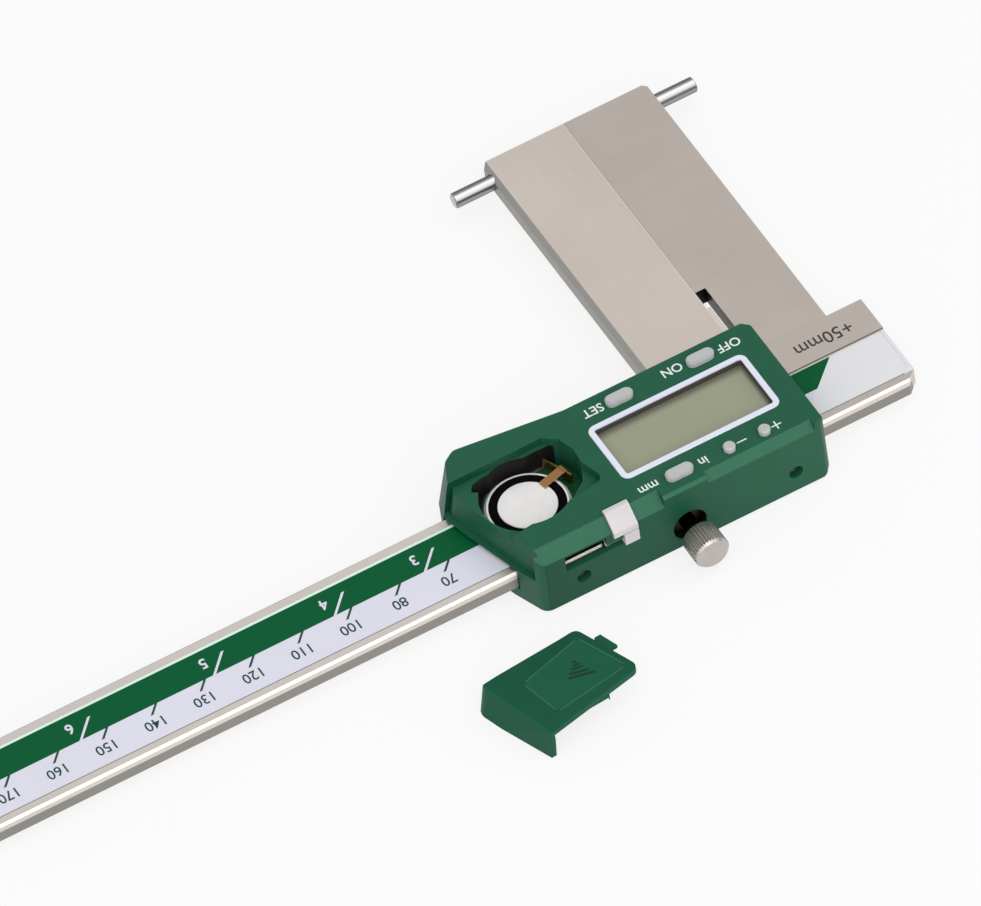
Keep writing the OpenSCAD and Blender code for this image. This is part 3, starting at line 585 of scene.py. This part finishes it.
# Length of the knob without its neck, in millimetres
KNOB_LENGTH = 5.65


def knob_steel():
    """Turned steel of the lock screw: its neck gets painted shade, where it stands in the recess.
    """
    s = turned_steel("knob_steel", KNOB_STEEL, (1.0, 0.1, 1.0))
    _, y, _ = s.axes()
    knob = s.more(y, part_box("lock_screw")[1].y - KNOB_LENGTH * MM)
    # Painted shade on the neck
    s.paint(s.mixed(knob, NECK_SHADE, s.base))
    return s


# Bands of painted reflection across a pin, from its dark side over its top: place and grey tone
PIN_BANDS = [(0.0, 92), (0.12, 170), (0.3, 104), (0.46, 184),
             (0.62, 230), (0.76, 196), (0.92, 118), (1.0, 92)]
# How the place across the bands follows the normal's y and z
PIN_ACROSS = (-0.39, 0.31)


def pin_steel():
    """Polished steel of the pins, with painted reflections of a studio in light and dark bands.
    """
    s = turned_steel("pin_steel", PIN_STEEL, (0.1, 1.0, 1.0))
    nx, ny, nz = s.facing()
    across = s.maths("ADD", s.maths("MULTIPLY", ny, PIN_ACROSS[0]),
                     s.maths("MULTIPLY_ADD", nz, PIN_ACROSS[1], 0.5))
    bands = s.ramp(across, [(place, rgb(tone, tone - 2, tone - 3)) for place, tone in PIN_BANDS])
    s.paint(s.mixed(s.more(nx, ALONG), bands, PIN_END))
    return s


# Display, in millimetres: the part of its border that the frame hides, the shade's reach
LCD_BORDER = 1.6
SHADE_NEAR_Y = 2.2
SHADE_FAR_Y = 0.5
SHADE_NEAR_X = 1.1
SHADE_FAR_X = 0.8
# Inner walls of the display's frame, below its top
FRAME_WALL_TOP = (0.35, 0.2)


def lcd_glass():
    """Olive display under clear plastic, darker at the rims that shade it."""
    s = Surface("lcd_glass", LCD_OLIVE, 0.2, specular=0.4, coat=0.15)
    x, y, _ = s.axes()
    low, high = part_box("lcd_panel")
    border = LCD_BORDER * MM
    rims = ((y, low.y + border, SHADE_NEAR_Y), (x, low.x + border, SHADE_NEAR_X),
            (x, high.x - border, -SHADE_FAR_X), (y, high.y - border, -SHADE_FAR_Y))
    shades = [s.ranged(value, level, level + reach * MM, 1.0, 0.0, "SMOOTHSTEP")
              for value, level, reach in rims]
    shade = shades[0]
    for other in shades[1:]:
        shade = s.maths("MAXIMUM", shade, other)
    s.paint(s.mixed(s.both(shade, 0.75), s.varied(LCD_OLIVE, 0.02, 90), LCD_SHADE))
    return s


def display_frame():
    """White frame round the display: pale on top, painted shade on its inner walls."""
    s = Surface("display_frame", FRAME_WHITE, 0.3, specular=0.4)
    _, _, z = s.axes()
    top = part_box("lcd_frame")[1].z
    face = s.ranged(z, *(top - depth * MM for depth in FRAME_WALL_TOP))
    s.paint(s.mixed(face, FRAME_SHADE, s.varied(FRAME_WHITE, 0.015, 150)))
    return s


# Coin cell, in millimetres from its edge and its top: the insulating ring
RING_EDGES = (0.85, 2.5)
RING_DEPTH = 0.6
CELL_METAL = 0.35


def cell_face():
    """Coin cell: bright rim and face, black insulating ring between."""
    s = Surface("cell_face", CELL_STEEL, 0.25, metallic=CELL_METAL)
    low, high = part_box("coin_cell")
    centre = middle("coin_cell")
    x, y, z = s.axes()
    radius = s.radius(s.offset(x, centre.x), s.offset(y, centre.y))
    outer = (high.x - low.x) / 2
    ring = s.both(s.less(radius, outer - RING_EDGES[0] * MM),
                  s.more(radius, outer - RING_EDGES[1] * MM),
                  s.more(z, high.z - RING_DEPTH * MM))
    s.paint(s.mixed(ring, s.varied(CELL_STEEL, 0.03, 500), CELL_RING))
    metal = s.opposite(ring)
    s.drive("Metallic", s.both(metal, CELL_METAL))
    s.drive("Specular IOR Level", s.both(metal, 0.5))
    s.bump(s.noise(1400, 3.0), 0.08, 0.04)
    return s


def dress_nodes():
    """Gives every CAD node its material."""
    pin = pin_steel()
    screw = turned_steel("screw_steel", SCREW_STEEL, (1.0, 1.0, 0.2))
    sheet = ground_steel("sheet_steel", SHEET_STEEL, (0.1, 1.0, 1.0))
    bronze = ground_steel("contact_bronze", CONTACT_BRONZE, (0.3, 1.0, 1.0), (0.22, 0.34))
    grey = moulded("grey_plastic", BUTTON_GREY, 0.38)
    board = moulded("board_lacquer", BOARD_GREEN, 0.3, 0.5)
    finishes = {
        "beam": beam_steel(),
        "scale_label": label_print(),
        "fixed_pin": pin,
        "moving_pin": pin,
        "slider_frame": jaw_steel(),
        "gib_strip": ground_steel("gib_bronze", GIB_BRONZE, (0.1, 1.0, 1.0)),
        "gib_screws": screw,
        "lock_screw": knob_steel(),
        "housing": case_green(),
        "battery_cover": cover_green(),
        "housing_screws": screw,
        "back_cover": sheet,
        "back_screws": screw,
        "stator_board": board,
        "circuit_board": board,
        "elastomer_strips": moulded("elastomer", RUBBER, 0.7),
        "lcd_panel": lcd_glass(),
        "lcd_frame": display_frame(),
        "tact_switches": moulded("black_plastic", SWITCH_BLACK, 0.5),
        "data_connector": connector_shell(),
        "port_cover": moulded("cover_grey", PORT_COVER_GREY, 0.42),
        "coin_cell": cell_face(),
        "contact_positive": bronze,
        "contact_negative": bronze,
        "end_stop": sheet,
        "end_stop_screws": screw,
    }
    for name, node in NODES.items():
        material = finishes.get(name, grey).material
        if not node.material_slots:
            node.data.materials.append(material)
        for part in node.material_slots:
            part.material = material


# Height of a digit in the font, as a share of its size
DIGIT_SHARE = 0.72
# How far the print stands on its surface
PRINT_T = 0.02


class Print:
    """Flat print that becomes one mesh. Points are construction points, in millimetres."""

    def __init__(self):
        self.vertices = []
        self.faces = []

    def prism(self, outline, level, thickness=PRINT_T):
        """Adds a flat prism over an outline."""
        start = len(self.vertices)
        n = len(outline)
        for z in (level, level + thickness):
            self.vertices.extend(at(x, y, z) for x, y in outline)
        self.faces.append([start + n + i for i in range(n)])
        self.faces.append([start + i for i in reversed(range(n))])
        for i in range(n):
            k = (i + 1) % n
            self.faces.append([start + i, start + k, start + n + k, start + n + i])

    def words(self, text, x, y, level, height, weight, squeeze):
        """Adds flat lettering centred at a point.

        Height is that of a digit, weight thickens the strokes, squeeze scales the width.
        """
        curve = bpy.data.curves.new("words", "FONT")
        curve.body = text
        curve.size = height / DIGIT_SHARE
        curve.align_x = "CENTER"
        curve.align_y = "BOTTOM_BASELINE"
        curve.offset = weight
        curve.extrude = PRINT_T / 2
        curve.resolution_u = 4
        holder = bpy.data.objects.new("words", curve)
        bpy.context.scene.collection.objects.link(holder)
        bpy.context.view_layer.update()
        mesh = bpy.data.meshes.new_from_object(holder)
        start = len(self.vertices)
        self.vertices.extend(
            at(x + v.co.x * squeeze, y - height / 2 + v.co.y, level + PRINT_T / 2 + v.co.z)
            for v in mesh.vertices)
        self.faces.extend([[start + i for i in p.vertices] for p in mesh.polygons])
        bpy.data.objects.remove(holder)
        bpy.data.meshes.remove(mesh)
        bpy.data.curves.remove(curve)

    def make(self, name, surface, body, slot):
        mesh = bpy.data.meshes.new(name)
        mesh.from_pydata([tuple(v) for v in self.vertices], [], self.faces)
        mesh.update()
        mesh.materials.append(surface.material)
        piece = bpy.data.objects.new(name, mesh)
        bpy.context.scene.collection.objects.link(piece)
        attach(piece, body)


def stroke(x0, y0, x1, y1, width):
    """Outline of a straight printed line; its ends are cut parallel to the beam."""
    half = width / 2 * math.hypot(x1 - x0, y1 - y0) / abs(y1 - y0)
    return [(x0 - half, y0), (x0 + half, y0), (x1 + half, y1), (x1 - half, y1)]


def bar(x0, y0, x1, y1, width):
    """Outline of a straight bar with square ends."""
    length = math.hypot(x1 - x0, y1 - y0)
    nx = -(y1 - y0) / length * width / 2
    ny = (x1 - x0) / length * width / 2
    return [(x0 + nx, y0 + ny), (x0 - nx, y0 - ny), (x1 - nx, y1 - ny), (x1 + nx, y1 + ny)]


# Scale: the mark 70, and the numbers with their distance from it in pitches. The photograph
# shows no 90, and no 60 beside the housing.
LABEL_TOP = -0.03
TICK_70 = 67.6
TICK_PITCH = 10.0
TICK_SLANT = 1.9 / 2.05
TICK_LEN = 2.05
TICK_WIDTH = 0.42
SCALE_NUMBERS = ([(70, 0), (80, 1)] + [(80 + 10 * step, step) for step in range(2, 18)]
                 + [(10 * tens, tens - 7) for tens in (5, 4, 3, 2, 1)])
NUMBER_X = 2.2
NUMBER_Y = 13.2
NUMBER_STYLE = {"height": 2.35, "weight": 0.025, "squeeze": 0.9}
# Inch lines: where they meet the green field's edge
INCH = 25.4
INCH_LINES = {3: 72.4, 4: 90.9, 5: 115.6, 6: 142.9}
INCH_LEN = 4.1
INCH_WIDTH = 0.45
INCH_NUMBER_X = 0.5
INCH_NUMBER_Y = 5.7
INCH_STYLE = {"height": 2.4, "weight": 0.06, "squeeze": 0.9}


def scale_print():
    dark = ink("scale_ink", INK)
    white = ink("scale_white", LABEL_WHITE)
    ticks, numbers = Print(), Print()
    for number, pitches in SCALE_NUMBERS:
        x = TICK_70 + TICK_PITCH * pitches
        tick = stroke(x, FIELD_EDGE, x + TICK_SLANT * TICK_LEN, FIELD_EDGE + TICK_LEN, TICK_WIDTH)
        ticks.prism(tick, LABEL_TOP)
        numbers.words(str(number), x + NUMBER_X, NUMBER_Y, LABEL_TOP, **NUMBER_STYLE)
    ticks.make("scale_ticks", dark, "beam_body", "printed_label")
    numbers.make("scale_numbers", dark, "beam_body", "printed_label")

    # Beyond the lines that the photograph shows, the inches run on at their true length
    inches = dict(INCH_LINES)
    for number in (7, 8, 9):
        inches[number] = inches[6] + INCH * (number - 6)
    for number in (2, 1):
        inches[number] = inches[3] - INCH * (3 - number)
    lines, numbers = Print(), Print()
    for number, x in inches.items():
        line = stroke(x - TICK_SLANT * INCH_LEN, FIELD_EDGE - INCH_LEN, x, FIELD_EDGE, INCH_WIDTH)
        lines.prism(line, LABEL_TOP)
        numbers.words(str(number), x + INCH_NUMBER_X, INCH_NUMBER_Y, LABEL_TOP, **INCH_STYLE)
    lines.make("inch_lines", white, "beam_body", "printed_label")
    numbers.make("inch_numbers", white, "beam_body", "printed_label")


# Figure on the head strip: its middle, the strip's level
HEAD_MARK = (-13.8, 1.8)
HEAD_STRIP_Z = 0.4
HEAD_STYLE = {"height": 2.9, "weight": 0.02, "squeeze": 0.93}


def head_mark():
    """Engraved figure on the head strip, filled with dark colour."""
    mark = Print()
    mark.words("+50mm", *HEAD_MARK, HEAD_STRIP_Z, **HEAD_STYLE)
    mark.make("head_mark", ink("engraving", ENGRAVING), "beam_body", "printed_label")


# Words beside the buttons, and the two signs, of which plus has an upright bar
CASE_WORDS = [("OFF", 3.7, -0.5), ("ON", 15.15, -1.0), ("SET", 31.6, -0.6),
              ("in", 20.9, 21.0), ("mm", 32.1, 20.9)]
CASE_STYLE = {"height": 2.0, "weight": 0.03, "squeeze": 0.95}
PLUS = (5.9, 20.8)
MINUS = (12.9, 20.6)
SIGN_REACH = 1.0
SIGN_WIDTH = 0.26
# The upright bar lies a little lower, so that the two tops don't share a plane
UPRIGHT_T = PRINT_T * 0.9


def case_print():
    """White words and signs beside the buttons."""
    case = Print()
    for text, x, y in CASE_WORDS:
        case.words(text, x, y, FACE_Z, **CASE_STYLE)
    for x, y in (PLUS, MINUS):
        case.prism(bar(x - SIGN_REACH, y, x + SIGN_REACH, y, SIGN_WIDTH), FACE_Z)
        if (x, y) == PLUS:
            case.prism(bar(x, y - SIGN_REACH, x, y + SIGN_REACH, SIGN_WIDTH), FACE_Z, UPRIGHT_T)
    case.make("case_words", ink("case_white", CASE_WHITE), "slider", "printed_label")


# The loose cover: its level, where it lies, and the corners of its raised middle
COVER_TOP = 0.0
COVER_X = 14.8
COVER_Y = 32.4
COVER_TURN = math.radians(5)
COVER_FLAT = [(42.8, 1.8), (56.6, 4.6), (55.4, 14.2), (39.4, 12.9)]
# Grooves of its arrow, drawn as dark lines of painted shade: two ends and the width
GROOVES = [(63.3, 45.5, 58.5, 46.7, 0.6), (62.8, 44.7, 59.2, 45.6, 0.5),
           (62.0, 44.0, 59.7, 44.3, 0.5), (61.3, 43.4, 59.8, 43.4, 0.45),
           (60.8, 42.7, 60.3, 42.7, 0.5)]
# Painted highlight along the crease: short of the corners, inside the crease
CREASE_GAP = 0.7
CREASE_INSET = 0.14
CREASE_WIDTH = 0.2


def cover_print():
    """Arrow of short grooves and creases on the loose battery cover, drawn as lines: painted
    shade in the grooves and painted highlights along the creases.
    """
    grooves = Print()
    for x0, y0, x1, y1, width in GROOVES:
        grooves.prism(bar(x0, y0, x1, y1, width), COVER_TOP)
    grooves.make("cover_grooves", ink("groove_shade", GROOVE_SHADE), "beam_body", "green_plastic")

    c, s = math.cos(COVER_TURN), math.sin(COVER_TURN)
    corners = [Vector((COVER_X + x * c - y * s, COVER_Y + x * s + y * c)) for x, y in COVER_FLAT]
    creases = Print()
    for start, end in zip(corners, corners[1:] + corners[:1]):
        along = (end - start).normalized()
        inward = Vector((-along.y, along.x)) * CREASE_INSET
        start = start + along * CREASE_GAP + inward
        end = end - along * CREASE_GAP + inward
        creases.prism(bar(*start, *end, CREASE_WIDTH), COVER_TOP)
    creases.make("cover_creases", ink("crease_highlight", CREASE_HIGHLIGHT), "beam_body", "green_plastic")


# Floor: its reach in metres, the shade of its paper, how much of it glows to the camera
FLOOR_REACH = 6.0
PAPER = 0.8
GLOW_SHARE = 0.8


def floor():
    """Pale floor that keeps the shadow and shows white to the camera and in reflections."""
    z = cad_low.z - 0.02 * MM
    corners = [(-1, -1), (1, -1), (1, 1), (-1, 1)]
    mesh = bpy.data.meshes.new("floor")
    mesh.from_pydata([(FLOOR_REACH * x, FLOOR_REACH * y, z) for x, y in corners], [],
                     [(0, 1, 2, 3)])
    plane = bpy.data.objects.new("floor", mesh)
    bpy.context.scene.collection.objects.link(plane)

    material = bpy.data.materials.new("floor_paper")
    material.use_nodes = True
    tree = material.node_tree
    nodes = tree.nodes
    link = tree.links.new
    nodes.remove(nodes["Principled BSDF"])
    paper = nodes.new("ShaderNodeBsdfDiffuse")
    paper.inputs["Color"].default_value = (PAPER, PAPER, PAPER, 1)
    glow = nodes.new("ShaderNodeEmission")
    glow.inputs["Strength"].default_value = 1.0
    path = nodes.new("ShaderNodeLightPath")
    seen = nodes.new("ShaderNodeMath")
    seen.operation = "MAXIMUM"
    link(path.outputs["Is Camera Ray"], seen.inputs[0])
    link(path.outputs["Is Glossy Ray"], seen.inputs[1])
    share = nodes.new("ShaderNodeMath")
    share.operation = "MULTIPLY"
    share.inputs[1].default_value = GLOW_SHARE
    link(seen.outputs["Value"], share.inputs[0])
    mix = nodes.new("ShaderNodeMixShader")
    link(share.outputs["Value"], mix.inputs["Fac"])
    link(paper.outputs["BSDF"], mix.inputs[1])
    link(glow.outputs["Emission"], mix.inputs[2])
    link(mix.outputs["Shader"], nodes["Material Output"].inputs["Surface"])
    plane.data.materials.append(material)


SKY = (0.55, 0.55, 0.56, 1)
BACKDROP = (1, 1, 1, 1)


def sky():
    """Even grey light all round, and a white backdrop to the camera."""
    world = bpy.data.worlds.new("studio")
    world.use_nodes = True
    bpy.context.scene.world = world
    nodes = world.node_tree.nodes
    link = world.node_tree.links.new
    even = nodes["Background"]
    even.inputs["Color"].default_value = SKY
    even.inputs["Strength"].default_value = 1.0
    plain = nodes.new("ShaderNodeBackground")
    plain.inputs["Color"].default_value = BACKDROP
    path = nodes.new("ShaderNodeLightPath")
    mix = nodes.new("ShaderNodeMixShader")
    link(path.outputs["Is Camera Ray"], mix.inputs["Fac"])
    link(even.outputs["Background"], mix.inputs[1])
    link(plain.outputs["Background"], mix.inputs[2])
    link(mix.outputs["Shader"], nodes["World Output"].inputs["Surface"])


def lamp(name, direction, distance, size, power):
    """Soft square lamp that looks at the object from a direction."""
    data = bpy.data.lights.new(name, "AREA")
    data.size = size
    data.energy = power
    holder = bpy.data.objects.new(name, data)
    back = Vector(direction).normalized()
    holder.location = LOOK_AT + back * distance
    holder.rotation_mode = "QUATERNION"
    holder.rotation_quaternion = back.to_track_quat("Z", "Y")
    bpy.context.scene.collection.objects.link(holder)


bpy.context.scene.view_settings.view_transform = "Standard"
make_camera()
dress_nodes()
scale_print()
head_mark()
case_print()
cover_print()
floor()
sky()
lamp("key", direction=(-0.3, 0.5, 1.0), distance=1.2, size=2.1, power=11.6)
lamp("fill", direction=(0.5, 1.0, 0.5), distance=1.2, size=1.8, power=8.3)
